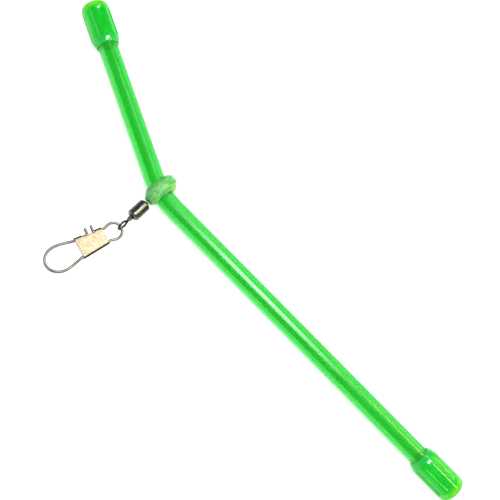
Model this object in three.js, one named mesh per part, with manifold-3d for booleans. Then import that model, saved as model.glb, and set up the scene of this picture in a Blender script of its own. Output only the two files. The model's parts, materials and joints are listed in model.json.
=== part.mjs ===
// Anti-tangle feeder boom: a bent plastic line tube with a fluted sleeve on each end, and a collar
// in the bend that carries a rolling swivel and an interlock snap.
//
// Millimetres, +Z up. The boom lies flat on Z = 0 with its long arm along +X, its short arm bent
// towards +Y and the snap lying towards -Y. The origin is the bottom centre of its bounding box.

import * as THREE from 'three';
import { mergeVertices } from 'three/addons/utils/BufferGeometryUtils.js';
import Module from 'manifold-3d';

const wasm = await Module();
wasm.setup();

const { degToRad, lerp } = THREE.MathUtils;

// ---------------------------------------------------------------- driving dimensions

// Tube. The arms are measured from the point where their centre lines cross, to the cap ends.
const TUBE_R = 1.95;
const BORE_R = 1.0;
const LONG_ARM = 77.65;
const SHORT_ARM = 41.4;
const BEND_ANGLE = degToRad(27);
const BEND_RADIUS = 16;

// Fluted end cap.
const CAP_R = 2.78;
const CAP_LENGTH = 9.35;
const CAP_MOUTH_R = 2.24;
const CAP_TAPER = 1.5;
const CAP_ROUND = 1.1;
const CAP_STOP = 1.0;
const FLUTES = 8;
const FLUTE_R = 0.95;
const FLUTE_DEPTH = 0.24;
const FLUTE_START = 1.0;
const FLUTE_RIM = 1.9;
const LOWER_CAP_TURN = degToRad(10);
const UPPER_CAP_TURN = degToRad(20);

// Collar in the bend. Its section is an oval, longer towards the swivel.
const COLLAR_X = -0.52;
const COLLAR_Y = 0.85;
const COLLAR_HALF_LENGTH = 3.5;
const COLLAR_RIM = 1.5;
const COLLAR_BEVEL = 1.1;
const COLLAR_BEVEL_DROP = 1.4;

// Swivel. Stations along its axis are measured from the collar's centre.
const SWIVEL_DROOP = degToRad(5.8);
const SWIVEL_YAW = degToRad(0.8);
const ANCHOR_AT = [2.6, 2.95];
const ANCHOR_R = 0.6;
const SHANK_R = 0.27;
const PIN_HEAD_AT = [4.75, 5.25];
const HEAD_R = 0.75;
const BARREL_R = 1.2;
const BARREL_WALL = 0.25;
const BARREL_AT = [4.05, 7.72];
const BARREL_RIMS = [4.4, 7.4];
const BARREL_CONE_R = 0.85;
const PIN_HOLE_R = 0.36;
const EYE_HOLE_R = 0.52;
const EYE_WIRE_R = 0.19;
const EYE_HEAD_AT = [6.5, 7.05];
const EYE_END = 11.12;
const EYE_ROLL = degToRad(12);

// One strand of the eye's wire, from its head to just short of the loop's end at EYE_END. The
// other strand is the same half a turn round the axis, so the two cross without touching.
const EYE_STRAND = [
  [6.8, 0, 0.22], [7.72, -0.07, 0.24], [8.2, -0.14, 0.25], [8.75, 0.06, 0.27], [9.2, 0.2, 0.05],
  [9.6, 0.17, -0.4], [10.2, 0.05, -0.79], [10.88, -0.01, -0.6],
];

// Snap. Stations are measured from the wire centre at the tip of the small loop, and the snap
// hangs in the eye at SNAP_HOOK inside that tip.
const SNAP_WIRE_R = 0.26;
const SNAP_HOOK = 0.54;
const SNAP_YAW = degToRad(-15);
const SNAP_ROLL = degToRad(-5);
const SMALL_HALF_WIDTH = 1.54;
const PLATE_AT = [3.3, 8.65];
const LEG_HALF_WIDTH = [1.26, 1.65];
const BIG_HALF_WIDTH = 2.32;
const BIG_WIDEST_AT = 12.4;
const SNAP_LENGTH = 15.1;
const SMALL_EASE = 0.4;
const BIG_EASE = 0.12;
const WIRE_SPLIT = 5.95;
const FIXED_PRONG_AT = 4.9;
const GATE_PRONG_AT = 6.08;
const PRONG_REACH = 2.86;
const PRONG_LEAN = 0.14;
const PRONG_BEND = 0.42;
const SHEET = 0.14;
const SHEET_EASE = 0.015;
const NEAR_FOLD_AT = [3.3, 4.55];
const FAR_FOLD_AT = [7.1, 8.65];

// A closed fold grips its leg. The half fold lets the leg beside it drop out of the plate.
const FOLD_START = degToRad(-20);
const CLOSED_FOLD = degToRad(200);
const HALF_FOLD = degToRad(108);

// Room between pieces.
const FIT = 0.06;
const WIRE_FIT = 0.04;

// Facets: sides of round pieces and wires, and steps along bends.
const ROUND_SIDES = 24;
const WIRE_SIDES = 10;
const FLUTE_SIDES = 16;
const BEND_STEPS = 12;
const ROUND_STEPS = 3;
const FOLD_STEPS = 9;
const EYE_STEPS = 48;
const SNAP_STEPS = 72;

// ---------------------------------------------------------------- materials

function material(color, roughness, metalness) {
  return new THREE.MeshStandardMaterial({ color, roughness, metalness });
}

const tubeGreen = material(0x2ed83c, 0.25, 0);
const capGreen = material(0x12c93a, 0.2, 0);
const collarGreen = material(0x6fd873, 0.55, 0);
const blackNickel = material(0x36342e, 0.3, 1);
const springSteel = material(0x857d74, 0.35, 1);
const paleBrass = material(0xead9a8, 0.4, 1);

// ---------------------------------------------------------------- solids

// Makes a closed geometry into a solid that faces outwards.
function solid(geometry) {
  const bare = geometry.clone();
  bare.deleteAttribute('normal');
  bare.deleteAttribute('uv');
  const merged = mergeVertices(bare, 1e-4);
  const vertProperties = new Float32Array(merged.attributes.position.array);
  const corners = Array.from(merged.index.array);
  const faces = [];
  for (let i = 0; i < corners.length; i += 3) {
    const [a, b, c] = corners.slice(i, i + 3);
    if (a !== b && b !== c && c !== a) faces.push([a, b, c]);
  }
  const build = (list) => new wasm.Manifold(
    new wasm.Mesh({ numProp: 3, vertProperties, triVerts: new Uint32Array(list.flat()) }));
  const body = build(faces);
  return body.volume() > 0 ? body : build(faces.map(([a, b, c]) => [a, c, b]));
}

function geometryOf(body) {
  const { vertProperties, triVerts } = body.getMesh();
  const geometry = new THREE.BufferGeometry();
  geometry.setAttribute('position', new THREE.BufferAttribute(vertProperties, 3));
  geometry.setIndex(new THREE.BufferAttribute(triVerts, 1));
  geometry.computeVertexNormals();
  return geometry;
}

function piece(name, body, finish) {
  const mesh = new THREE.Mesh(geometryOf(body), finish);
  mesh.name = name;
  return mesh;
}

// Turns a closed outline, given as [station, radius] pairs, about the X axis.
function turned(outline, sides = ROUND_SIDES) {
  const points = outline.map(([station, radius]) => new THREE.Vector2(radius, station));
  return solid(new THREE.LatheGeometry(points, sides).rotateZ(-Math.PI / 2));
}

function rod([start, end], radius, sides) {
  return turned([[start, 0], [start, radius], [end, radius], [end, 0]], sides);
}

function circle(radius, sides, hole = 0) {
  const shape = new THREE.Shape().setFromPoints(ring(radius, sides));
  if (hole > 0) shape.holes.push(new THREE.Path().setFromPoints(ring(hole, sides)));
  return shape;
}

function ring(radius, sides) {
  return Array.from({ length: sides }, (_, i) => {
    const angle = (2 * Math.PI * (i + 0.5)) / sides;
    return new THREE.Vector2(radius * Math.cos(angle), radius * Math.sin(angle));
  });
}

// A round wire along a curve.
function wire(path, radius, steps) {
  const shape = circle(radius, WIRE_SIDES);
  return solid(new THREE.ExtrudeGeometry(shape, { extrudePath: path, steps, bevelEnabled: false }));
}

// ---------------------------------------------------------------- boom tube

// The tube's centre line, with one station at each end and the rest along the bend.
class BoomLine extends THREE.Curve {
  constructor(steps) {
    super();
    this.steps = steps;
    this.tangentLength = BEND_RADIUS * Math.tan(BEND_ANGLE / 2);
  }

  getUtoTmapping(u) {
    return u;
  }

  getPoint(t, target = new THREE.Vector3()) {
    const station = t * this.steps;
    if (station <= 1) {
      return target.set(lerp(LONG_ARM - CAP_STOP, this.tangentLength, station), 0, 0);
    }
    const turn = (BEND_ANGLE * Math.min(station - 1, this.steps - 2)) / (this.steps - 2);
    target.set(this.tangentLength - BEND_RADIUS * Math.sin(turn), BEND_RADIUS * (1 - Math.cos(turn)), 0);
    if (station > this.steps - 1) {
      const straight = SHORT_ARM - CAP_STOP - this.tangentLength;
      const along = straight * (station - this.steps + 1);
      target.add(new THREE.Vector3(-Math.cos(BEND_ANGLE), Math.sin(BEND_ANGLE), 0).multiplyScalar(along));
    }
    return target;
  }

  getTangent(t, target = new THREE.Vector3()) {
    const station = t * this.steps;
    const share = THREE.MathUtils.clamp((station - 1) / (this.steps - 2), 0, 1);
    return target.set(-Math.cos(BEND_ANGLE * share), Math.sin(BEND_ANGLE * share), 0);
  }
}

function tubeSolid(outer, hole) {
  const section = circle(outer, ROUND_SIDES, hole);
  return solid(new THREE.ExtrudeGeometry(
    section, { extrudePath: new BoomLine(BEND_STEPS), steps: BEND_STEPS, bevelEnabled: false }));
}

// ---------------------------------------------------------------- end caps

// A sleeve with its closed-down end at X = 0, open towards -X.
function capSolid() {
  const mouth = -CAP_LENGTH;
  const socket = TUBE_R + FIT;
  const outline = [[mouth, socket], [mouth, CAP_MOUTH_R], [mouth + CAP_TAPER, CAP_R]];
  for (let i = 0; i <= ROUND_STEPS; i += 1) {
    const angle = (i / ROUND_STEPS) * (Math.PI / 2);
    outline.push([CAP_ROUND * (Math.sin(angle) - 1), CAP_R - CAP_ROUND * (1 - Math.cos(angle))]);
  }
  outline.push([0, BORE_R], [-CAP_STOP + FIT, BORE_R], [-CAP_STOP + FIT, socket], [mouth, socket]);
  let body = turned(outline, 4 * FLUTES);
  for (let i = 0; i < FLUTES; i += 1) {
    const angle = (2 * Math.PI * (i + 0.5)) / FLUTES;
    const reach = CAP_R + FLUTE_R - FLUTE_DEPTH;
    const cutter = rod([mouth + FLUTE_START, -FLUTE_RIM], FLUTE_R, FLUTE_SIDES);
    body = body.subtract(cutter.translate([0, reach * Math.cos(angle), reach * Math.sin(angle)]));
  }
  return body;
}

function arm(direction, length, turn, name) {
  const cap = piece(name, capSolid(), capGreen);
  cap.position.set(length * Math.cos(direction), length * Math.sin(direction), 0);
  cap.rotation.set(turn, 0, direction, 'ZYX');
  return cap;
}

// ---------------------------------------------------------------- collar and its pin

function pinOutline(grow) {
  return [
    [ANCHOR_AT[0] - grow, 0], [ANCHOR_AT[0] - grow, ANCHOR_R + grow],
    [ANCHOR_AT[1] + grow, ANCHOR_R + grow], [ANCHOR_AT[1] + grow, SHANK_R + grow],
    [PIN_HEAD_AT[0] - grow, SHANK_R + grow], [PIN_HEAD_AT[0] - grow, HEAD_R + grow],
    [PIN_HEAD_AT[1] + grow, HEAD_R + grow], [PIN_HEAD_AT[1] + grow, 0],
  ];
}

// The oval is cut square to the long arm, beveled on both faces, and bored for the bent tube
// and for the pin that is moulded into it.
function collarSolid(swivelMatrix) {
  const oval = new THREE.Shape();
  const flatHeight = CAP_R - COLLAR_BEVEL_DROP;
  const flatLength = COLLAR_HALF_LENGTH - COLLAR_BEVEL_DROP;
  oval.absellipse(0, 0, flatHeight, flatLength, 0, 2 * Math.PI, false, 0);
  const blank = new THREE.ExtrudeGeometry(oval, {
    depth: COLLAR_RIM, bevelThickness: COLLAR_BEVEL, bevelSize: COLLAR_BEVEL_DROP, bevelSegments: 1,
    curveSegments: ROUND_SIDES,
  });
  blank.translate(0, 0, -COLLAR_RIM / 2).rotateY(Math.PI / 2).translate(COLLAR_X, COLLAR_Y, 0);
  const pinHole = turned(pinOutline(FIT)).transform(swivelMatrix.toArray());
  return solid(blank).subtract(tubeSolid(TUBE_R + FIT, 0)).subtract(pinHole);
}

// ---------------------------------------------------------------- swivel

function barrelSolid() {
  const [start, end] = BARREL_AT;
  const [startRim, endRim] = BARREL_RIMS;
  const cavityR = BARREL_R - BARREL_WALL;
  return turned([
    [start, PIN_HOLE_R], [start, BARREL_CONE_R], [startRim, BARREL_R], [endRim, BARREL_R],
    [end, BARREL_CONE_R], [end, EYE_HOLE_R], [end - BARREL_WALL, EYE_HOLE_R],
    [endRim + FIT, cavityR], [startRim - FIT, cavityR], [start + BARREL_WALL, PIN_HOLE_R],
    [start, PIN_HOLE_R],
  ]);
}

// The eye is one wire: out of the barrel, across itself, round the loop and back beside itself.
function eyeSolid() {
  const returning = EYE_STRAND.map(([x, y, z]) => [x, -y, -z]).reverse();
  const route = [...EYE_STRAND, [EYE_END, 0, 0], ...returning];
  const path = new THREE.CatmullRomCurve3(route.map((point) => new THREE.Vector3(...point)));
  return wire(path, EYE_WIRE_R, EYE_STEPS).add(rod(EYE_HEAD_AT, HEAD_R, ROUND_SIDES));
}

// ---------------------------------------------------------------- snap

// Half width of the wire's legs where they run under the plate.
function legY(station) {
  const share = (station - PLATE_AT[0]) / (PLATE_AT[1] - PLATE_AT[0]);
  return lerp(LEG_HALF_WIDTH[0], LEG_HALF_WIDTH[1], share);
}

// Points of the snap's plane: side is -1 on the prong side and 1 on the other.
function flat(station, halfWidth, side) {
  return new THREE.Vector3(station - SNAP_HOOK, side * halfWidth, 0);
}

function line(a, b) {
  return new THREE.LineCurve3(a, b);
}

// A quarter of an oval from its widest point to its tip, or a leg that widens to that point.
function quarter(widest, tip) {
  const kappa = 0.552;
  const corner = new THREE.Vector3(tip.x, widest.y, 0);
  return new THREE.CubicBezierCurve3(
    widest, widest.clone().lerp(corner, kappa), tip.clone().lerp(corner, kappa), tip);
}

function widening(side, legStation, widestStation, widestHalf, ease) {
  const leg = flat(legStation, legY(legStation), side);
  const widest = flat(widestStation, widestHalf, side);
  const run = widestStation - legStation;
  const eased = legStation + ease * run;
  return new THREE.CubicBezierCurve3(
    leg, flat(eased, legY(eased), side), widest.clone().setX(widest.x - 0.4 * run), widest);
}

function reversed(curve) {
  return new THREE.CubicBezierCurve3(curve.v3, curve.v2, curve.v1, curve.v0);
}

// A loop from the prong side's leg round its tip to the other side's leg.
function loop(legStation, widestStation, widestHalf, tipStation, ease) {
  const tip = flat(tipStation, 0, 1);
  return [
    widening(-1, legStation, widestStation, widestHalf, ease),
    quarter(flat(widestStation, widestHalf, -1), tip),
    reversed(quarter(flat(widestStation, widestHalf, 1), tip)),
    reversed(widening(1, legStation, widestStation, widestHalf, ease)),
  ];
}

// The wire's free end: it sticks out sideways and bends into its leg towards `towards`.
function prong(station, towards) {
  const corner = flat(station, legY(station), -1);
  const tip = flat(station - PRONG_LEAN, PRONG_REACH, -1);
  const bendStart = corner.clone().lerp(tip, PRONG_BEND / corner.distanceTo(tip));
  const legStation = station + towards * PRONG_BEND;
  const bendEnd = flat(legStation, legY(legStation), -1);
  return [line(tip, bendStart), new THREE.QuadraticBezierCurve3(bendStart, corner, bendEnd)];
}

function snapWireSolid(prongAt, loopLeg, widestStation, widestHalf, tipStation, ease, endStation) {
  const path = new THREE.CurvePath();
  const towards = Math.sign(loopLeg - prongAt);
  const [rise, bend] = prong(prongAt, towards);
  const curves = loop(loopLeg, widestStation, widestHalf, tipStation, ease);
  path.curves.push(rise, bend, line(bend.v2, curves[0].v0), ...curves);
  path.curves.push(line(curves[3].v3, flat(endStation, legY(endStation), 1)));
  return wire(path, SNAP_WIRE_R, SNAP_STEPS);
}

// A strip of sheet rolled round a leg, from the top of the plate outwards by `wrap`.
function foldSolid([start, end], side, wrap) {
  const inner = SNAP_WIRE_R + WIRE_FIT;
  const outer = inner + SHEET;
  const arc = (radius) => Array.from({ length: FOLD_STEPS + 1 }, (_, i) => {
    const angle = lerp(FOLD_START, wrap, i / FOLD_STEPS);
    return new THREE.Vector2(side * radius * Math.sin(angle), radius * Math.cos(angle));
  });
  const section = new THREE.Shape().setFromPoints([...arc(outer), ...arc(inner).reverse()]);
  const from = flat(start, legY(start), side);
  const along = flat(end, legY(end), side).sub(from);
  const strip = new THREE.ExtrudeGeometry(section, { depth: along.length(), bevelEnabled: false });
  strip.rotateX(Math.PI / 2).rotateZ(Math.PI / 2).rotateZ(Math.atan2(along.y, along.x));
  return solid(strip.translate(from.x, from.y, 0));
}

function plateSolid() {
  const corners = [[0, -1], [1, -1], [1, 1], [0, 1]].map(([end, side]) => {
    const point = flat(PLATE_AT[end], LEG_HALF_WIDTH[end] - 2 * SHEET_EASE, side);
    return new THREE.Vector2(point.x, point.y);
  });
  const sheet = new THREE.ExtrudeGeometry(
    new THREE.Shape().setFromPoints(corners), { depth: SHEET - 2 * SHEET_EASE, bevelEnabled: false });
  return solid(sheet.translate(0, 0, SNAP_WIRE_R + WIRE_FIT + SHEET_EASE))
    .add(foldSolid(PLATE_AT, 1, CLOSED_FOLD))
    .add(foldSolid(NEAR_FOLD_AT, -1, CLOSED_FOLD))
    .add(foldSolid(FAR_FOLD_AT, -1, HALF_FOLD));
}

// ---------------------------------------------------------------- assembly

// The swivel's frame: +X points out along the swivel's axis.
const swivel = new THREE.Group();
swivel.position.set(COLLAR_X, COLLAR_Y, 0);
swivel.rotation.set(0, SWIVEL_DROOP, -Math.PI / 2 + SWIVEL_YAW, 'ZYX');
swivel.updateMatrix();
swivel.add(piece('collar_pin', turned(pinOutline(0)), springSteel));
swivel.add(piece('swivel_barrel', barrelSolid(), blackNickel));

const eye = piece('swivel_eye', eyeSolid(), blackNickel);
eye.rotation.x = EYE_ROLL;
swivel.add(eye);

// The snap's frame: +X runs down the snap from the eye, and Z is square to its plate.
const snap = new THREE.Group();
snap.position.x = EYE_END;
snap.rotation.set(SNAP_ROLL, 0, SNAP_YAW, 'XYZ');
snap.add(piece('snap_wire', snapWireSolid(FIXED_PRONG_AT, PLATE_AT[0] - 0.15, SMALL_HALF_WIDTH,
  SMALL_HALF_WIDTH, 0, SMALL_EASE, WIRE_SPLIT), springSteel));
snap.add(piece('snap_gate', snapWireSolid(GATE_PRONG_AT, PLATE_AT[1] + 0.2, BIG_WIDEST_AT,
  BIG_HALF_WIDTH, SNAP_LENGTH, BIG_EASE, WIRE_SPLIT + 0.1), springSteel));
snap.add(piece('snap_plate', plateSolid(), paleBrass));
swivel.add(snap);

const boom = new THREE.Group();
boom.add(piece('boom_tube', tubeSolid(TUBE_R, BORE_R), tubeGreen));
boom.add(arm(0, LONG_ARM, LOWER_CAP_TURN, 'lower_end_cap'));
boom.add(arm(Math.PI - BEND_ANGLE, SHORT_ARM, UPPER_CAP_TURN, 'upper_end_cap'));
boom.add(piece('swivel_collar', collarSolid(swivel.matrix), collarGreen));
boom.add(swivel);

const box = new THREE.Box3().setFromObject(boom, true);
const centre = box.getCenter(new THREE.Vector3());
boom.position.set(-centre.x, -centre.y, -box.min.z);

export default boom;
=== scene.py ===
"""Look of the anti-tangle feeder boom: fine pieces, materials, floor, light and camera."""

import json
import math

import bmesh
import bpy
from mathutils import Euler, Matrix, Vector


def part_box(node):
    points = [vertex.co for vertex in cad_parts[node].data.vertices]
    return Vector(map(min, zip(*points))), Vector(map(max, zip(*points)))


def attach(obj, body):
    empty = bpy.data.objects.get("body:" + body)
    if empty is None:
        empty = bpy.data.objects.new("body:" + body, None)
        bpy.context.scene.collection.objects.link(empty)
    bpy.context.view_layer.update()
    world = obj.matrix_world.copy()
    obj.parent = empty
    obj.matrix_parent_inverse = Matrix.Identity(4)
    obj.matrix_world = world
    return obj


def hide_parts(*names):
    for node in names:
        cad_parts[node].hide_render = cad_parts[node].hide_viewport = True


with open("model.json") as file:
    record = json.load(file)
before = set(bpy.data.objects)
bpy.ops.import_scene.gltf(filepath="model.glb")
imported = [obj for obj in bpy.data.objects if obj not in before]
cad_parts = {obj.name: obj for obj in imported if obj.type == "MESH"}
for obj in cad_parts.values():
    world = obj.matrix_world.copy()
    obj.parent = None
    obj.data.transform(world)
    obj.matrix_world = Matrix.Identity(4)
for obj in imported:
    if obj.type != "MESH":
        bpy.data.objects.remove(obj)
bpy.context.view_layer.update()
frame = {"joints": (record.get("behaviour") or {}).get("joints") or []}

MM = 0.001

# ------------------------------------------------------------------ dimensions, millimetres
# Stations along the snap count from the tip of its small loop, on the wire's centre line.

TUBE_R = 1.95
BORE_R = 1.0
LONG_ARM = 77.65
SHORT_ARM = 41.4
BEND_ANGLE = math.radians(27)
BEND_RADIUS = 16.0
TUBE_SHORTER = 1.0
TUBE_LIP = 0.12
TUBE_SIDES = 72
LONG_STEPS = 30
BEND_STEPS = 40
SHORT_STEPS = 18

CAP_R = 2.78
CAP_LENGTH = 9.35
CAP_MOUTH_R = 2.24
CAP_TAPER = 1.5
CAP_ROUND = 1.1
CAP_SOCKET_R = 1.975
CAP_FLOOR = 0.95
CAP_SIDES = 192
SHOULDER_STEPS = 13
BODY_STEPS = 40
ROUND_STEPS = 12
SOCKET_STEPS = 8
FLUTES = 8
FLUTE_R = 0.95
FLUTE_DEPTH = 0.24
FLUTE_FROM = 1.0
FLUTE_RIM = 1.9
FLUTE_FADE = 0.5
FLUTE_BLEND = 0.06
LOWER_CAP_TURN = math.radians(10)
UPPER_CAP_TURN = math.radians(20)

COLLAR_HALF = (1.85, 3.5, 2.78)
COLLAR_BEVEL = 1.1
COLLAR_BEVEL_DROP = 1.4
COLLAR_EDGE = 0.22
COLLAR_BORE_R = 1.975
COLLAR_SIDES = 96
COLLAR_SHARP = math.radians(35)

# Outlines of the turned pieces: (station from the collar's middle, radius).
PIN_POCKET = [(2.5, 0.62), (3.0, 0.62), (3.0, 0.33), (3.3, 0.33), (3.3, 0.8), (4.2, 0.8)]
PIN_OUTLINE = [(2.6, 0.02), (2.6, 0.6), (2.95, 0.6), (2.95, 0.27), (4.75, 0.27), (4.75, 0.75),
               (5.25, 0.75), (5.25, 0.02)]
BARREL_OUTLINE = [
    (4.05, 0.34), (4.05, 0.84), (4.1, 0.9), (4.36, 1.16), (4.44, 1.2), (7.36, 1.2), (7.44, 1.16),
    (7.67, 0.9), (7.72, 0.84), (7.72, 0.5), (7.5, 0.5), (7.3, 0.95), (4.5, 0.95), (4.3, 0.34)]
EYE_HEAD_OUTLINE = [(6.5, 0.02), (6.5, 0.75), (7.05, 0.75), (7.05, 0.02)]
METAL_EDGE = 0.06
EYE_HEAD_EDGE = 0.08
PIN_SIDES = 48
BARREL_SIDES = 96

EYE_WIRE_R = 0.2
EYE_END = 11.12
EYE_ROLL = math.radians(12)
EYE_STRAND = [(6.9, 0, 0.22), (7.72, -0.07, 0.24), (8.2, -0.14, 0.25), (8.75, 0.06, 0.27),
              (9.2, 0.2, 0.05), (9.6, 0.17, -0.4), (10.2, 0.05, -0.79), (10.88, -0.01, -0.6)]
WIRE_SIDES = 24

SNAP_WIRE_R = 0.26
SNAP_HOOK = 0.54
SNAP_YAW = math.radians(-15)
SNAP_ROLL = math.radians(-5)
SMALL_HALF_WIDTH = 1.54
PLATE_AT = (3.3, 8.65)
LEG_HALF_WIDTH = (1.26, 1.65)
BIG_HALF_WIDTH = 2.32
BIG_WIDEST_AT = 12.4
SNAP_LENGTH = 15.1
SMALL_EASE = 0.4
BIG_EASE = 0.12
WIDEST_EASE = 0.4
WIRE_GAP = 0.06
SMALL_LEG_AT = 3.15
BIG_LEG_AT = 8.85
WIRE_SPLIT = 5.95
FIXED_PRONG_AT = 4.9
GATE_PRONG_AT = 6.08
PRONG_REACH = 2.86
PRONG_LEAN = 0.14
PRONG_BEND = 0.42
SHEET = 0.14
WIRE_FIT = 0.04
NEAR_FOLD_AT = (3.3, 4.55)
FAR_FOLD_AT = (7.1, 8.65)
HALF_FOLD = math.radians(108)
FULL_FOLD = math.radians(200)
CUT_EDGE = 0.03
CUT_CORNER = math.radians(60)
PLATE_SHARP = math.radians(50)

# ------------------------------------------------------------------ frames
# Each counts in millimetres. BOOM starts where the arms' centre lines meet, with X along the long
# arm. SWIVEL starts in the collar's middle, with X along the swivel. SNAP starts at the eye's end,
# with X along the snap.

joints = {joint["name"]: joint for joint in frame["joints"]}


def middle(node):
    low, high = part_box(node)
    return (low + high) / 2


def millimetres(matrix):
    return matrix @ Matrix.Scale(MM, 4)


_, cap_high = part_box("lower_end_cap")
cap_middle = middle("lower_end_cap")
vertex = Vector((cap_high.x - LONG_ARM * MM, cap_middle.y, cap_middle.z))
BOOM = millimetres(Matrix.Translation(vertex))

axis = Vector(joints["barrel_spin"]["axis"]).normalized()
across = Vector((0, 0, 1)).cross(axis).normalized()
turn = Matrix((axis, across, axis.cross(across))).transposed().to_4x4()
SWIVEL = millimetres(Matrix.Translation(middle("swivel_collar")) @ turn)
SNAP = SWIVEL @ Matrix.Translation((EYE_END, 0, 0)) \
    @ Euler((SNAP_ROLL, 0, 0)).to_matrix().to_4x4() @ Euler((0, 0, SNAP_YAW)).to_matrix().to_4x4()

# ------------------------------------------------------------------ mesh helpers


def new_piece(name, mesh, body, nodes, material):
    """Adds a finished mesh as a piece that rides on a body and stands for CAD nodes."""
    for polygon in mesh.polygons:
        polygon.use_smooth = True
    piece = bpy.data.objects.new(name, mesh)
    bpy.context.scene.collection.objects.link(piece)
    mesh.materials.append(material)
    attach(piece, body)
    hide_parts(*nodes)
    return piece


def mesh_from(name, points, faces, matrix, wrap=None):
    """A mesh in the row frame. wrap gives each point's place on the unrolled piece."""
    mesh = bpy.data.meshes.new(name)
    mesh.from_pydata([tuple(matrix @ Vector(point)) for point in points], [], faces)
    if wrap is not None:
        attribute = mesh.attributes.new("wrap", "FLOAT_VECTOR", "POINT")
        attribute.data.foreach_set("vector", [value for point in wrap for value in point])
    work = bmesh.new()
    work.from_mesh(mesh)
    bmesh.ops.recalc_face_normals(work, faces=work.faces)
    work.to_mesh(mesh)
    work.free()
    mesh.update()
    return mesh


def ring_faces(rings, sides, closed):
    """Quads between rings of points; closed also joins the last ring to the first."""
    faces = []
    for i in range(rings if closed else rings - 1):
        j = (i + 1) % rings
        for k in range(sides):
            m = (k + 1) % sides
            faces.append((i * sides + k, i * sides + m, j * sides + m, j * sides + k))
    return faces


def capped_faces(rings, sides):
    """Quads between rings of points and a face over each end."""
    faces = ring_faces(rings, sides, False)
    faces.append(tuple(range(sides)))
    faces.append(tuple(range((rings - 1) * sides, rings * sides)))
    return faces


def turned(name, profile, matrix, sides, shape=None, closed=True):
    """Turns (station, radius) pairs about X. shape(station, radius, angle) may change a radius."""
    points, wrap = [], []
    for station, radius in profile:
        for k in range(sides):
            angle = 2 * math.pi * k / sides
            r = shape(station, radius, angle) if shape else radius
            points.append((station, r * math.cos(angle), r * math.sin(angle)))
            wrap.append((station, r * math.cos(angle), r * math.sin(angle)))
    rings = len(profile)
    faces = ring_faces(rings, sides, True) if closed else capped_faces(rings, sides)
    return mesh_from(name, points, faces, matrix, wrap)


def rounded(profile, radius, steps=4):
    """Rounds every corner of a closed (station, radius) outline."""
    smooth = []
    count = len(profile)
    for i in range(count):
        corner = Vector(profile[i])
        before = Vector(profile[i - 1]) - corner
        after = Vector(profile[(i + 1) % count]) - corner
        reach = min(radius, 0.45 * before.length, 0.45 * after.length)
        a = corner + before.normalized() * reach
        b = corner + after.normalized() * reach
        for step in range(steps + 1):
            t = step / steps
            smooth.append(tuple(a.lerp(corner, t).lerp(corner.lerp(b, t), t)))
    return smooth


def frames_along(path):
    """Tangent and two square directions at each point of a path, turning as little as possible."""
    tangents = []
    for i in range(len(path)):
        before, after = path[max(i - 1, 0)], path[min(i + 1, len(path) - 1)]
        tangents.append((after - before).normalized())
    side = tangents[0].orthogonal().normalized()
    result = []
    for tangent in tangents:
        side = (side - tangent * side.dot(tangent)).normalized()
        result.append((tangent, side, tangent.cross(side)))
    return result


def swept(name, path, radius, matrix, sides):
    """A round wire along a path, with softly rounded ends."""
    end_round = 0.5
    end_steps = 4
    directions = frames_along(path)
    rings = []
    along = 0.0
    for i, (point, (tangent, side, up)) in enumerate(zip(path, directions)):
        if i:
            along += (point - path[i - 1]).length
        rings.append((point, side, up, radius, along))
    start, finish = [], []
    for step in range(end_steps):
        share = step / end_steps
        shrink = math.sqrt(1 - (1 - share) ** 2) * end_round + (1 - end_round) * (share > 0)
        back = radius * end_round * (1 - share)
        size = max(radius * shrink, radius * 0.02)
        first, last = directions[0], directions[-1]
        inset = radius * end_round - back
        start.append((path[0] + first[0] * inset, first[1], first[2], size, 0))
        finish.append((path[-1] - last[0] * inset, last[1], last[2], size, along))
    reach = radius * end_round
    inner = [ring for ring in rings[1:-1] if reach < ring[4] < along - reach]
    rings = start + inner + finish[::-1]
    points, wrap = [], []
    for point, side, up, size, distance in rings:
        for k in range(sides):
            angle = 2 * math.pi * k / sides
            points.append(point + (side * math.cos(angle) + up * math.sin(angle)) * size)
            wrap.append((distance, size * math.cos(angle), size * math.sin(angle)))
    return mesh_from(name, points, capped_faces(len(rings), sides), matrix, wrap)


def bezier(a, b, c, d, steps=24):
    points = []
    for i in range(steps + 1):
        t = i / steps
        s = 1 - t
        points.append(a * s ** 3 + b * 3 * s * s * t + c * 3 * s * t * t + d * t ** 3)
    return points


def straight(a, b, steps=8):
    return [a.lerp(b, i / steps) for i in range(steps + 1)]


def joined(*runs):
    path = list(runs[0])
    for run in runs[1:]:
        path.extend(run[1:] if (run[0] - path[-1]).length < 1e-6 else run)
    return path


def catmull(points, steps=10):
    """A smooth line through points, evenly eased at both ends."""
    path = []
    ends = [points[0] * 2 - points[1], *points, points[-1] * 2 - points[-2]]
    for i in range(1, len(ends) - 2):
        p0, p1, p2, p3 = ends[i - 1:i + 3]
        knots = [0.0]
        for a, b in ((p0, p1), (p1, p2), (p2, p3)):
            knots.append(knots[-1] + max((b - a).length, 1e-6) ** 0.5)
        m1 = (p2 - p1) + ((p1 - p0) / (knots[1] - knots[0]) - (p2 - p0) / (knots[2] - knots[0])) \
            * (knots[2] - knots[1])
        m2 = (p2 - p1) + ((p3 - p2) / (knots[3] - knots[2]) - (p3 - p1) / (knots[3] - knots[1])) \
            * (knots[2] - knots[1])
        for step in range(steps):
            t = step / steps
            path.append(p1 * (2 * t ** 3 - 3 * t ** 2 + 1) + m1 * (t ** 3 - 2 * t ** 2 + t)
                        + p2 * (-2 * t ** 3 + 3 * t ** 2) + m2 * (t ** 3 - t ** 2))
    return path + [points[-1]]


# ------------------------------------------------------------------ materials


def shader(name, settings):
    """A material with a Principled shader. settings are values of its sockets."""
    material = bpy.data.materials.new(name)
    material.use_nodes = True
    principled = material.node_tree.nodes["Principled BSDF"]
    for socket, value in settings.items():
        principled.inputs[socket].default_value = value
    return material, material.node_tree, principled


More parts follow.
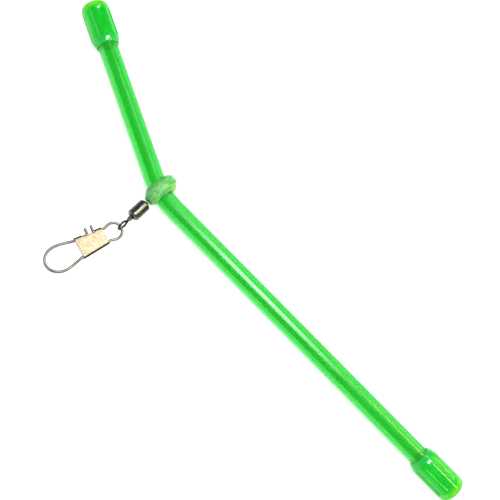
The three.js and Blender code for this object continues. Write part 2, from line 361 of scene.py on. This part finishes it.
def unrolled(tree):
    """The place on the unrolled piece, in millimetres."""
    origin = tree.nodes.new("ShaderNodeAttribute")
    origin.attribute_name = "wrap"
    return origin.outputs["Vector"]


def noise_of(tree, scale, detail=3.0, roughness=0.55):
    """Noise on the unrolled piece, with scale waves to a millimetre in each direction."""
    mapping = tree.nodes.new("ShaderNodeMapping")
    mapping.inputs["Scale"].default_value = scale
    tree.links.new(unrolled(tree), mapping.inputs["Vector"])
    texture = tree.nodes.new("ShaderNodeTexNoise")
    texture.inputs["Scale"].default_value = 1.0
    texture.inputs["Detail"].default_value = detail
    texture.inputs["Roughness"].default_value = roughness
    tree.links.new(mapping.outputs["Vector"], texture.inputs["Vector"])
    return texture.outputs["Fac"]


def ramp(tree, factor, stops):
    """Maps a factor through colour stops: (position, colour)."""
    node = tree.nodes.new("ShaderNodeValToRGB")
    elements = node.color_ramp.elements
    while len(elements) < len(stops):
        elements.new(0.5)
    for element, (position, colour) in zip(elements, stops):
        element.position = position
        element.color = (*colour, 1)
    tree.links.new(factor, node.inputs["Fac"])
    return node.outputs["Color"]


def span(tree, factor, low, high, start=0.3, end=0.7):
    """Maps a factor to numbers from low to high."""
    node = tree.nodes.new("ShaderNodeMapRange")
    node.inputs["From Min"].default_value = start
    node.inputs["From Max"].default_value = end
    node.inputs["To Min"].default_value = low
    node.inputs["To Max"].default_value = high
    tree.links.new(factor, node.inputs["Value"])
    return node.outputs["Result"]


def bump(tree, principled, height, distance):
    """Raises the surface by height times distance, in millimetres."""
    node = tree.nodes.new("ShaderNodeBump")
    node.inputs["Strength"].default_value = 1.0
    node.inputs["Distance"].default_value = distance * MM
    tree.links.new(height, node.inputs["Height"])
    tree.links.new(node.outputs["Normal"], principled.inputs["Normal"])


def blended(tree, colour, share, other):
    """Fades a colour towards another one."""
    node = tree.nodes.new("ShaderNodeMix")
    node.data_type = "RGBA"
    tree.links.new(share, node.inputs["Factor"])
    tree.links.new(colour, node.inputs["A"])
    node.inputs["B"].default_value = (*other, 1)
    return node.outputs["Result"]


def along_piece(tree, start, end, component="X"):
    """Rises from 0 to 1 between two places of the unrolled piece."""
    parts = tree.nodes.new("ShaderNodeSeparateXYZ")
    tree.links.new(unrolled(tree), parts.inputs["Vector"])
    return span(tree, parts.outputs[component], 0, 1, start, end)


def dyed_plastic_with_painted_light(name, light, deep, clearness, roughness, painted_glow, drift, lines, depth, painted_light_bands=()):
    """Fluorescent dyed plastic: its tint drifts, and fine lines break its gloss. Its emission is
    painted light that brightens it though it is no lamp.

    drift and lines are noise scales, and depth is the height of the lines. Each of bands is a
    start, an end and the colour that the piece has beyond the end: painted light and shade,
    lighter or darker ends and sides where the lamps catch or miss them.
    """
    material, tree, principled = shader(name, {
        "Transmission Weight": clearness, "IOR": 1.48, "Roughness": roughness,
        # Painted light: a green emission that brightens the plastic though it is no lamp.
        "Emission Color": (*painted_glow, 1), "Emission Strength": 1.0,
    })
    colour = ramp(tree, noise_of(tree, drift, 2.0), [(0.35, deep), (0.65, light)])
    # Painted light and shade: each band fades the colour into a lighter or darker one towards an
    # end or a side.
    for start, end, tint in painted_light_bands:
        colour = blended(tree, colour, along_piece(tree, start, end), tint)
    tree.links.new(colour, principled.inputs["Base Color"])
    height = noise_of(tree, lines, 3.0)
    gloss = span(tree, height, roughness * 0.9, roughness * 1.15)
    tree.links.new(gloss, principled.inputs["Roughness"])
    if depth > 0:
        bump(tree, principled, height, depth)
    return material


def plated_metal(name, light, dark, roughness, mottle, lines, depth, rolled=None):
    """Metal with a mottled tone and fine marks. rolled paints shade on a sheet's rolled edges."""
    material, tree, principled = shader(name, {"Metallic": 1.0, "Roughness": roughness})
    colour = ramp(tree, noise_of(tree, mottle, 4.0, 0.6), [(0.35, dark), (0.65, light)])
    # Painted shade: the colour fades to near black where the sheet's edges roll round the wire.
    if rolled:
        colour = blended(tree, colour, along_piece(tree, 0.1, 0.5, "Z"), rolled)
    tree.links.new(colour, principled.inputs["Base Color"])
    height = noise_of(tree, lines, 3.0, 0.6)
    gloss = span(tree, height, roughness * 0.7, roughness * 1.4)
    tree.links.new(gloss, principled.inputs["Roughness"])
    if depth > 0:
        bump(tree, principled, height, depth)
    return material


# Each green below gets a painted emission: painted light that brightens it though it is no lamp.
tube_green = dyed_plastic_with_painted_light(
    "tube_green", light=(0.05, 0.60, 0.09), deep=(0.035, 0.54, 0.07), clearness=0.85,
    roughness=0.22, painted_glow=(0, 0.07, 0), drift=(0.15, 0.8, 0.8), lines=(0.05, 1.2, 1.2), depth=0)
# Painted light: the cap's rounded end is painted a lighter yellow-green, a painted highlight where
# the lamps catch it, and its tapered mouth is painted teal.
cap_green = dyed_plastic_with_painted_light(
    "cap_green", light=(0.006, 0.60, 0.04), deep=(0.002, 0.46, 0.018), clearness=0.5,
    roughness=0.13, painted_glow=(0, 0.10, 0.002), drift=(0.3, 0.9, 0.9), lines=(0.2, 2, 2), depth=0.002,
    painted_light_bands=[(-1.9, -1.3, (0.13, 0.62, 0.03)), (-8.0, -8.5, (0.02, 0.50, 0.09))])
# Painted light and shade: the collar's chamfer on the long arm's side is painted yellow-green
# where the warm lamp falls, and the one towards the short arm a darker teal, painted shade.
collar_green = dyed_plastic_with_painted_light(
    "collar_green", light=(0.24, 0.62, 0.17), deep=(0.03, 0.36, 0.07), clearness=0.3,
    roughness=0.34, painted_glow=(0.01, 0.05, 0.01), drift=(2.0, 0.9, 0.9), lines=(2.2, 5, 5), depth=0.09,
    painted_light_bands=[(0.75, 0.95, (0.20, 0.55, 0.04)), (-0.75, -0.95, (0.01, 0.30, 0.05))])

black_nickel = plated_metal(
    "black_nickel", light=(0.14, 0.132, 0.12), dark=(0.06, 0.057, 0.05), roughness=0.25,
    mottle=(1.2, 1.2, 1.2), lines=(1.5, 3, 3), depth=0.001)
eye_black = plated_metal(
    "eye_black", light=(0.085, 0.08, 0.066), dark=(0.03, 0.029, 0.022), roughness=0.32,
    mottle=(2, 3, 3), lines=(1, 9, 9), depth=0.004)
drawn_wire = plated_metal(
    "drawn_wire", light=(0.24, 0.22, 0.20), dark=(0.12, 0.112, 0.10), roughness=0.42,
    mottle=(0.5, 1.5, 1.5), lines=(0.4, 2, 2), depth=0)
# The plate's rolled edges are painted near black, painted shade where the sheet curls round the
# wire.
pale_brass = plated_metal(
    "pale_brass", light=(0.275, 0.228, 0.152), dark=(0.205, 0.165, 0.105), roughness=0.44,
    mottle=(1.0, 1.0, 0.5), lines=(6, 6, 0.5), depth=0.001, rolled=(0.03, 0.028, 0.02))

# ------------------------------------------------------------------ boom tube


def boom_path():
    """The tube's centre line from the long arm's end round the bend to the short arm's end."""
    tangent = BEND_RADIUS * math.tan(BEND_ANGLE / 2)
    path = []
    far = LONG_ARM - TUBE_SHORTER
    for i in range(LONG_STEPS):
        path.append(Vector((far + (tangent - far) * i / LONG_STEPS, 0, 0)))
    for i in range(BEND_STEPS + 1):
        turned_by = BEND_ANGLE * i / BEND_STEPS
        path.append(Vector((tangent - BEND_RADIUS * math.sin(turned_by),
                            BEND_RADIUS * (1 - math.cos(turned_by)), 0)))
    end = path[-1]
    direction = Vector((-math.cos(BEND_ANGLE), math.sin(BEND_ANGLE), 0))
    rest = SHORT_ARM - TUBE_SHORTER - tangent
    for i in range(1, SHORT_STEPS + 1):
        path.append(end + direction * (rest * i / SHORT_STEPS))
    return path


def boom_rings(stations):
    """Rings square to the boom's path. stations are pairs of a place on the path and a radius."""
    path = boom_path()
    upward = Vector((0, 0, 1))
    along = [0.0]
    for before, after in zip(path, path[1:]):
        along.append(along[-1] + (after - before).length)
    points, wrap = [], []
    for index, radius in stations:
        before, after = path[max(index - 1, 0)], path[min(index + 1, len(path) - 1)]
        side = upward.cross((after - before).normalized())
        for k in range(TUBE_SIDES):
            angle = 2 * math.pi * k / TUBE_SIDES
            outward = side * math.cos(angle) + upward * math.sin(angle)
            points.append(path[index] + outward * radius)
            wrap.append((along[index], radius * math.cos(angle), radius * math.sin(angle)))
    return points, wrap


def tube_mesh():
    """The tube as one closed skin: outside, end, bore, end."""
    last = LONG_STEPS + BEND_STEPS + SHORT_STEPS
    stations = [(0, TUBE_R - TUBE_LIP)] + [(i, TUBE_R) for i in range(last + 1)]
    stations += [(last, TUBE_R - TUBE_LIP), (last, BORE_R + TUBE_LIP)]
    stations += [(i, BORE_R) for i in range(last, -1, -1)] + [(0, BORE_R + TUBE_LIP)]
    points, wrap = boom_rings(stations)
    faces = ring_faces(len(stations), TUBE_SIDES, True)
    return mesh_from("boom_tube_skin", points, faces, BOOM, wrap)


new_piece("boom_tube_skin", tube_mesh(), "boom", ["boom_tube"], tube_green)

# ------------------------------------------------------------------ end caps


def smooth_min(a, b, blend):
    """The smaller of two numbers, eased where they are about equal."""
    h = max(blend - abs(a - b), 0.0) / blend
    return min(a, b) - h * h * blend * 0.25


def ease(value, start, end):
    """Rises smoothly from 0 at start to 1 at end."""
    share = min(max((value - start) / (end - start), 0.0), 1.0)
    return share * share * (3 - 2 * share)


def fluted(station, radius, angle):
    """The cap's outside with its flutes. Points of the socket and bore stay as they are."""
    if radius < CAP_SOCKET_R + 0.05:
        return radius
    pitch = 2 * math.pi / FLUTES
    off = (angle % pitch) - pitch / 2
    reach = CAP_R + FLUTE_R - FLUTE_DEPTH
    inside = FLUTE_R ** 2 - (reach * math.sin(off)) ** 2
    if inside <= 0:
        return radius
    groove = reach * math.cos(off) - math.sqrt(inside)
    depth = max(CAP_R - groove, 0.0)
    depth *= ease(station, -CAP_LENGTH + FLUTE_FROM * 0.4, -CAP_LENGTH + FLUTE_FROM + 0.6)
    depth *= 1 - ease(station, -FLUTE_RIM - FLUTE_FADE, -FLUTE_RIM + 0.25)
    return smooth_min(radius, CAP_R - depth, FLUTE_BLEND)


def cap_profile():
    """The cap's outline: mouth, outside, rounded end, bore, socket."""
    mouth = -CAP_LENGTH
    edge, corner = 0.06, 0.08
    start = Vector((mouth + edge, CAP_MOUTH_R))
    outline = [(mouth, CAP_SOCKET_R + 0.04), (mouth, CAP_MOUTH_R - edge), tuple(start)]
    shoulder = Vector((mouth + CAP_TAPER, CAP_R))
    shoulder_pull, shoulder_end = shoulder - Vector((0.35, 0)), shoulder + Vector((0.5, 0))
    for i in range(1, SHOULDER_STEPS):
        t = i / SHOULDER_STEPS
        point = start.lerp(shoulder_pull, t).lerp(shoulder_pull.lerp(shoulder_end, t), t)
        outline.append(tuple(point))
    last = outline[-1][0]
    for i in range(1, BODY_STEPS + 1):
        outline.append((last + (-CAP_ROUND - last) * i / BODY_STEPS, CAP_R))
    for i in range(1, ROUND_STEPS + 1):
        angle = i / ROUND_STEPS * math.pi / 2
        outline.append((CAP_ROUND * (math.sin(angle) - 1),
                        CAP_R - CAP_ROUND * (1 - math.cos(angle))))
    bottom = -CAP_FLOOR - corner
    outline += [(0, BORE_R + 0.2), (-0.05, BORE_R + 0.06), (-0.14, BORE_R), (-CAP_FLOOR, BORE_R),
                (-CAP_FLOOR, CAP_SOCKET_R - corner), (bottom, CAP_SOCKET_R)]
    for i in range(1, SOCKET_STEPS + 1):
        outline.append((bottom + (mouth + 0.05 - bottom) * i / SOCKET_STEPS, CAP_SOCKET_R))
    return outline


def cap_matrix(direction, length, turn_by):
    """Puts a cap's end at the end of an arm, turned about the arm."""
    place = Matrix.Translation((length * math.cos(direction), length * math.sin(direction), 0))
    return BOOM @ place @ Matrix.Rotation(direction, 4, "Z") @ Matrix.Rotation(turn_by, 4, "X")


for name, direction, length, turn_by in (
        ("lower_end_cap", 0.0, LONG_ARM, LOWER_CAP_TURN),
        ("upper_end_cap", math.pi - BEND_ANGLE, SHORT_ARM, UPPER_CAP_TURN)):
    place = cap_matrix(direction, length, turn_by)
    mesh = turned(name + "_skin", cap_profile(), place, CAP_SIDES, fluted)
    new_piece(name + "_skin", mesh, "boom", [name], cap_green)

# ------------------------------------------------------------------ collar


def collar_mesh():
    """An oval ring, beveled on both faces, before its holes are cut."""
    half_x, half_y, half_z = COLLAR_HALF
    rim = half_x - COLLAR_BEVEL
    face_inset = COLLAR_BEVEL_DROP + 0.3
    edge_steps = 4
    outline = [Vector(corner) for corner in (
        (-half_x, face_inset), (-half_x, COLLAR_BEVEL_DROP), (-rim, 0.0), (rim, 0.0),
        (half_x, COLLAR_BEVEL_DROP), (half_x, face_inset))]
    rows = [outline[0]]
    for before, corner, after in zip(outline, outline[1:], outline[2:]):
        a = corner.lerp(before, COLLAR_EDGE / (corner - before).length)
        b = corner.lerp(after, COLLAR_EDGE / (corner - after).length)
        for step in range(edge_steps + 1):
            t = step / edge_steps
            rows.append(a.lerp(corner, t).lerp(corner.lerp(b, t), t))
    rows.append(outline[-1])
    points = []
    for x, inset in rows:
        for k in range(COLLAR_SIDES):
            angle = 2 * math.pi * k / COLLAR_SIDES
            points.append((x, (half_y - inset) * math.cos(angle),
                           (half_z - inset) * math.sin(angle)))
    faces = capped_faces(len(rows), COLLAR_SIDES)
    place = millimetres(Matrix.Translation(middle("swivel_collar")))
    return mesh_from("swivel_collar_skin", points, faces, place, points)


def cut(piece, cutter_mesh):
    """Takes a closed mesh out of a piece and drops the cutter."""
    cutter = bpy.data.objects.new("cutter", cutter_mesh)
    bpy.context.scene.collection.objects.link(cutter)
    modifier = piece.modifiers.new("cut", "BOOLEAN")
    modifier.operation = "DIFFERENCE"
    modifier.solver = "EXACT"
    modifier.object = cutter
    bpy.context.view_layer.update()
    result = bpy.data.meshes.new_from_object(
        piece.evaluated_get(bpy.context.evaluated_depsgraph_get()))
    piece.modifiers.clear()
    old = piece.data
    piece.data = result
    bpy.data.meshes.remove(old)
    bpy.data.objects.remove(cutter)


def tube_room():
    """The solid that the tube takes out of the collar."""
    count = LONG_STEPS + BEND_STEPS + SHORT_STEPS + 1
    points, _ = boom_rings([(i, COLLAR_BORE_R) for i in range(count)])
    return mesh_from("cutter", points, capped_faces(count, TUBE_SIDES), BOOM)


collar = new_piece("swivel_collar_skin", collar_mesh(), "boom", ["swivel_collar"],
                   collar_green)
cut(collar, tube_room())
cut(collar, turned("cutter", PIN_POCKET, SWIVEL, PIN_SIDES, closed=False))
for polygon in collar.data.polygons:
    polygon.use_smooth = True
collar.data.set_sharp_from_angle(angle=COLLAR_SHARP)

# ------------------------------------------------------------------ swivel

pin_mesh = turned("collar_pin_skin", rounded(PIN_OUTLINE, METAL_EDGE), SWIVEL, PIN_SIDES,
                  closed=False)
new_piece("collar_pin_skin", pin_mesh, "boom", ["collar_pin"], drawn_wire)

barrel_mesh = turned("swivel_barrel_skin", rounded(BARREL_OUTLINE, METAL_EDGE), SWIVEL,
                     BARREL_SIDES)
new_piece("swivel_barrel_skin", barrel_mesh, "barrel", ["swivel_barrel"],
          black_nickel)

strand = [Vector(point) for point in EYE_STRAND]
other_strand = [Vector((point.x, -point.y, -point.z)) for point in reversed(strand)]
eye_path = catmull(strand + [Vector((EYE_END, 0, 0))] + other_strand)
eye_matrix = SWIVEL @ Matrix.Rotation(EYE_ROLL, 4, "X")
eye_mesh = swept("swivel_eye_skin", eye_path, EYE_WIRE_R, eye_matrix, WIRE_SIDES)
new_piece("swivel_eye_skin", eye_mesh, "eye", ["swivel_eye"], eye_black)
head_mesh = turned("swivel_eye_head", rounded(EYE_HEAD_OUTLINE, EYE_HEAD_EDGE), SWIVEL, PIN_SIDES,
                   closed=False)
new_piece("swivel_eye_head", head_mesh, "eye", ["swivel_eye"], eye_black)

# ------------------------------------------------------------------ snap


def leg_y(station):
    """How far the wire's legs lie to each side under the plate."""
    share = (station - PLATE_AT[0]) / (PLATE_AT[1] - PLATE_AT[0])
    return LEG_HALF_WIDTH[0] + (LEG_HALF_WIDTH[1] - LEG_HALF_WIDTH[0]) * share


def flat(station, half_width, side):
    """A point of the snap's plane."""
    return Vector((station - SNAP_HOOK, side * half_width, 0))


def quarter(widest, tip):
    """A quarter of an oval from a loop's widest place to its tip."""
    kappa = 0.552
    corner = Vector((tip.x, widest.y, 0))
    return bezier(widest, widest.lerp(corner, kappa), tip.lerp(corner, kappa), tip)


def widening(side, leg_station, widest_station, widest_half, ease_share):
    """The wire from under the plate to a loop's widest place."""
    run = widest_station - leg_station
    eased = leg_station + ease_share * run
    widest = flat(widest_station, widest_half, side)
    return bezier(flat(leg_station, leg_y(leg_station), side), flat(eased, leg_y(eased), side),
                  Vector((widest.x - WIDEST_EASE * run, widest.y, 0)), widest)


def loop(leg_station, widest_station, widest_half, tip_station, ease_share):
    """A loop of the snap from one leg round its tip to the other leg."""
    tip = flat(tip_station, 0, 1)
    return joined(
        widening(-1, leg_station, widest_station, widest_half, ease_share),
        quarter(flat(widest_station, widest_half, -1), tip),
        quarter(flat(widest_station, widest_half, 1), tip)[::-1],
        widening(1, leg_station, widest_station, widest_half, ease_share)[::-1])


def prong(station, towards):
    """A prong's wire from its free tip into its leg, which runs towards the loop."""
    corner = flat(station, leg_y(station), -1)
    tip = flat(station - PRONG_LEAN, PRONG_REACH, -1)
    bend_start = corner.lerp(tip, PRONG_BEND / (corner - tip).length)
    leg_station = station + towards * PRONG_BEND
    bend_end = flat(leg_station, leg_y(leg_station), -1)
    return joined(straight(tip, bend_start), bezier(
        bend_start, bend_start.lerp(corner, 2 / 3), bend_end.lerp(corner, 2 / 3), bend_end, 12))


def snap_path(prong_at, leg_at, widest_at, widest_half, tip_at, ease_share, end_at):
    """Half of the snap's wire: prong, leg, loop and the free leg up to end_at."""
    rise = prong(prong_at, 1 if leg_at > prong_at else -1)
    curve = loop(leg_at, widest_at, widest_half, tip_at, ease_share)
    return joined(rise, straight(rise[-1], curve[0]), curve,
                  straight(curve[-1], flat(end_at, leg_y(end_at), 1)))


small = snap_path(FIXED_PRONG_AT, SMALL_LEG_AT, SMALL_HALF_WIDTH, SMALL_HALF_WIDTH, 0,
                  SMALL_EASE, WIRE_SPLIT)
big = snap_path(GATE_PRONG_AT, BIG_LEG_AT, BIG_WIDEST_AT, BIG_HALF_WIDTH, SNAP_LENGTH,
                BIG_EASE, WIRE_SPLIT + WIRE_GAP)
new_piece("snap_wire_skin", swept("snap_wire_skin", small, SNAP_WIRE_R, SNAP, WIRE_SIDES), "snap",
          ["snap_wire"], drawn_wire)
new_piece("snap_gate_skin", swept("snap_gate_skin", big, SNAP_WIRE_R, SNAP, WIRE_SIDES), "gate",
          ["snap_gate"], drawn_wire)


def plate_columns():
    """Across the sheet: (side, roll angle, None) on a rolled edge, (0, 0, share) on the flat."""
    half_steps, full_steps, flat_steps = 10, 8, 14
    rolled = [HALF_FOLD * i / half_steps for i in range(half_steps + 1)]
    rolled += [HALF_FOLD + (FULL_FOLD - HALF_FOLD) * i / full_steps
               for i in range(1, full_steps + 1)]
    columns = [(1, angle, None) for angle in reversed(rolled)]
    columns += [(0, 0.0, 1 - 2 * i / flat_steps) for i in range(1, flat_steps)]
    return columns + [(-1, angle, None) for angle in rolled]


def plate_point(station, column, radius):
    """A point of the sheet, radius away from the wire's centre."""
    side, angle, share = column
    half = leg_y(station)
    if share is not None:
        return Vector((station - SNAP_HOOK, half * share, radius))
    return Vector((station - SNAP_HOOK, side * (half + radius * math.sin(angle)),
                   radius * math.cos(angle)))


def plate_has(station, column):
    """Whether the sheet reaches this column at this station. The prongs' side is cut away."""
    side, angle, _ = column
    tiny = 1e-6
    if side != -1 or angle < tiny:
        return True
    if NEAR_FOLD_AT[0] - tiny <= station <= NEAR_FOLD_AT[1] + tiny:
        return True
    return FAR_FOLD_AT[0] - tiny <= station and angle <= HALF_FOLD + tiny


def plate_mesh():
    """The folded plate as one closed sheet: both faces and every cut edge."""
    marks = [PLATE_AT[0], NEAR_FOLD_AT[1], FAR_FOLD_AT[0], PLATE_AT[1]]
    steps = 8
    stations = []
    for start, end in zip(marks, marks[1:]):
        stations += [start + (end - start) * i / steps for i in range(steps)]
    stations.append(marks[-1])
    columns = plate_columns()
    inner = SNAP_WIRE_R + WIRE_FIT
    work = bmesh.new()
    wrap = work.verts.layers.float_vector.new("wrap")
    corners = {}

    def corner(i, k, top):
        if (i, k, top) not in corners:
            point = plate_point(stations[i], columns[k], inner + SHEET if top else inner)
            corners[i, k, top] = work.verts.new(point)
            # The third value, the roll angle, marks where the rolled edges get their painted
            # shade.
            corners[i, k, top][wrap] = (point.x, point.y, columns[k][1])
        return corners[i, k, top]

    cells = set()
    for i in range(len(stations) - 1):
        for k in range(len(columns) - 1):
            centre = (stations[i] + stations[i + 1]) / 2
            if plate_has(centre, columns[k]) and plate_has(centre, columns[k + 1]):
                cells.add((i, k))
    for i, k in sorted(cells):
        for top in (True, False):
            work.faces.new([corner(i, k, top), corner(i + 1, k, top), corner(i + 1, k + 1, top),
                            corner(i, k + 1, top)])
        edges = {(i - 1, k): ((i, k), (i, k + 1)), (i + 1, k): ((i + 1, k), (i + 1, k + 1)),
                 (i, k - 1): ((i, k), (i + 1, k)), (i, k + 1): ((i, k + 1), (i + 1, k + 1))}
        for beyond, (a, b) in edges.items():
            if beyond not in cells:
                work.faces.new([corner(*a, True), corner(*b, True), corner(*b, False),
                                corner(*a, False)])
    bmesh.ops.recalc_face_normals(work, faces=work.faces)
    cut_edges = [edge for edge in work.edges if edge.calc_face_angle(0) > CUT_CORNER]
    bmesh.ops.bevel(work, geom=cut_edges, offset=CUT_EDGE, segments=2, profile=0.5,
                    affect="EDGES")
    bmesh.ops.transform(work, matrix=SNAP, verts=work.verts)
    mesh = bpy.data.meshes.new("snap_plate_skin")
    work.to_mesh(mesh)
    work.free()
    return mesh


plate = new_piece("snap_plate_skin", plate_mesh(), "snap", ["snap_plate"],
                  pale_brass)
plate.data.set_sharp_from_angle(angle=PLATE_SHARP)

# ------------------------------------------------------------------ floor, light, camera

FLOOR_R = 1.1
COVE_R = 0.35
FLOOR_RINGS = 8
COVE_RINGS = 12
FLOOR_SIDES = 96
FLOOR_GLOW = 0.82
ROOM_STRENGTH = 0.25


def floor_mesh():
    """A round paper floor whose rim curves up."""
    rings = [(FLOOR_R * i / FLOOR_RINGS, 0.0) for i in range(1, FLOOR_RINGS + 1)]
    for i in range(1, COVE_RINGS + 1):
        angle = math.pi / 2 * i / COVE_RINGS
        rings.append((FLOOR_R + COVE_R * math.sin(angle), COVE_R * (1 - math.cos(angle))))
    points = []
    for radius, height in rings:
        for k in range(FLOOR_SIDES):
            angle = 2 * math.pi * k / FLOOR_SIDES
            points.append((radius * math.cos(angle), radius * math.sin(angle), height))
    faces = ring_faces(len(rings), FLOOR_SIDES, False) + [tuple(range(FLOOR_SIDES))]
    mesh = mesh_from("floor", points, faces, Matrix())
    for polygon in mesh.polygons:
        polygon.use_smooth = True
    return mesh


floor_data = floor_mesh()
floor = bpy.data.objects.new("floor", floor_data)
bpy.context.scene.collection.objects.link(floor)
paper, _, _ = shader("paper", {"Base Color": (0.5, 0.5, 0.5, 1), "Roughness": 0.9,
                               "Specular IOR Level": 0.2, "Emission Color": (1, 1, 1, 1),
                               "Emission Strength": FLOOR_GLOW})
paper.cycles.emission_sampling = "NONE"
floor_data.materials.append(paper)


def area_light(name, place, aim, size, power, colour=(1, 1, 1)):
    """A soft rectangular lamp at a place, turned to aim."""
    data = bpy.data.lights.new(name, "AREA")
    data.shape = "RECTANGLE"
    data.size, data.size_y = size
    data.energy = power
    data.color = colour
    light = bpy.data.objects.new(name, data)
    bpy.context.scene.collection.objects.link(light)
    light.location = Vector(place)
    light.rotation_mode = "QUATERNION"
    light.rotation_quaternion = (Vector(aim) - Vector(place)).to_track_quat("-Z", "Y")


area_light("overhead", place=(0.018, 0.010, 0.30), aim=(0.018, 0.010, 0), size=(0.075, 0.21),
           power=1.0, colour=(0.94, 1, 1.04))
area_light("streak", place=(0.15, 0.095, 0.30), aim=(0.05, 0.0, 0), size=(0.14, 0.05),
           power=0.32, colour=(1, 0.95, 0.4))
area_light("front", place=(-0.09, 0.15, 0.29), aim=(-0.02, 0.0, 0), size=(0.16, 0.07), power=0.14)
area_light("warm", place=(0.20, 0.26, 0.16), aim=(0.0, 0.0, 0), size=(0.16, 0.16), power=0.18,
           colour=(1, 0.9, 0.4))

world = bpy.data.worlds.new("studio")
world.use_nodes = True
background = world.node_tree.nodes["Background"]
background.inputs["Color"].default_value = (1, 1, 1, 1)
background.inputs["Strength"].default_value = ROOM_STRENGTH
bpy.context.scene.world = world
bpy.context.scene.view_settings.view_transform = "Standard"

CAMERA_AZIMUTH = math.radians(-1.111)
CAMERA_ELEVATION = math.radians(62.358)
CAMERA_ROLL = math.radians(44.305)
CAMERA_DISTANCE = 0.154324
CAMERA_AIM = Vector((-0.000853, 0.008558, 0.00003))
CAMERA_LENS_MM = 57.6
CAMERA_SENSOR_MM = 36.0
CAMERA_NEAR = 0.005
CAMERA_FAR = 10.0

level_share = math.cos(CAMERA_ELEVATION)
towards = Vector((-math.sin(CAMERA_AZIMUTH) * level_share,
                  -math.cos(CAMERA_AZIMUTH) * level_share, math.sin(CAMERA_ELEVATION)))
level = Vector((math.cos(CAMERA_AZIMUTH), -math.sin(CAMERA_AZIMUTH), 0))
upright = towards.cross(level)
right = level * math.cos(CAMERA_ROLL) + upright * math.sin(CAMERA_ROLL)
up = upright * math.cos(CAMERA_ROLL) - level * math.sin(CAMERA_ROLL)

camera_data = bpy.data.cameras.new("camera")
camera_data.lens = CAMERA_LENS_MM
camera_data.sensor_width = CAMERA_SENSOR_MM
camera_data.clip_start = CAMERA_NEAR
camera_data.clip_end = CAMERA_FAR
camera = bpy.data.objects.new("camera", camera_data)
bpy.context.scene.collection.objects.link(camera)
camera.matrix_world = Matrix.Translation(CAMERA_AIM + towards * CAMERA_DISTANCE) \
    @ Matrix((right, up, towards)).transposed().to_4x4()
bpy.context.scene.camera = camera
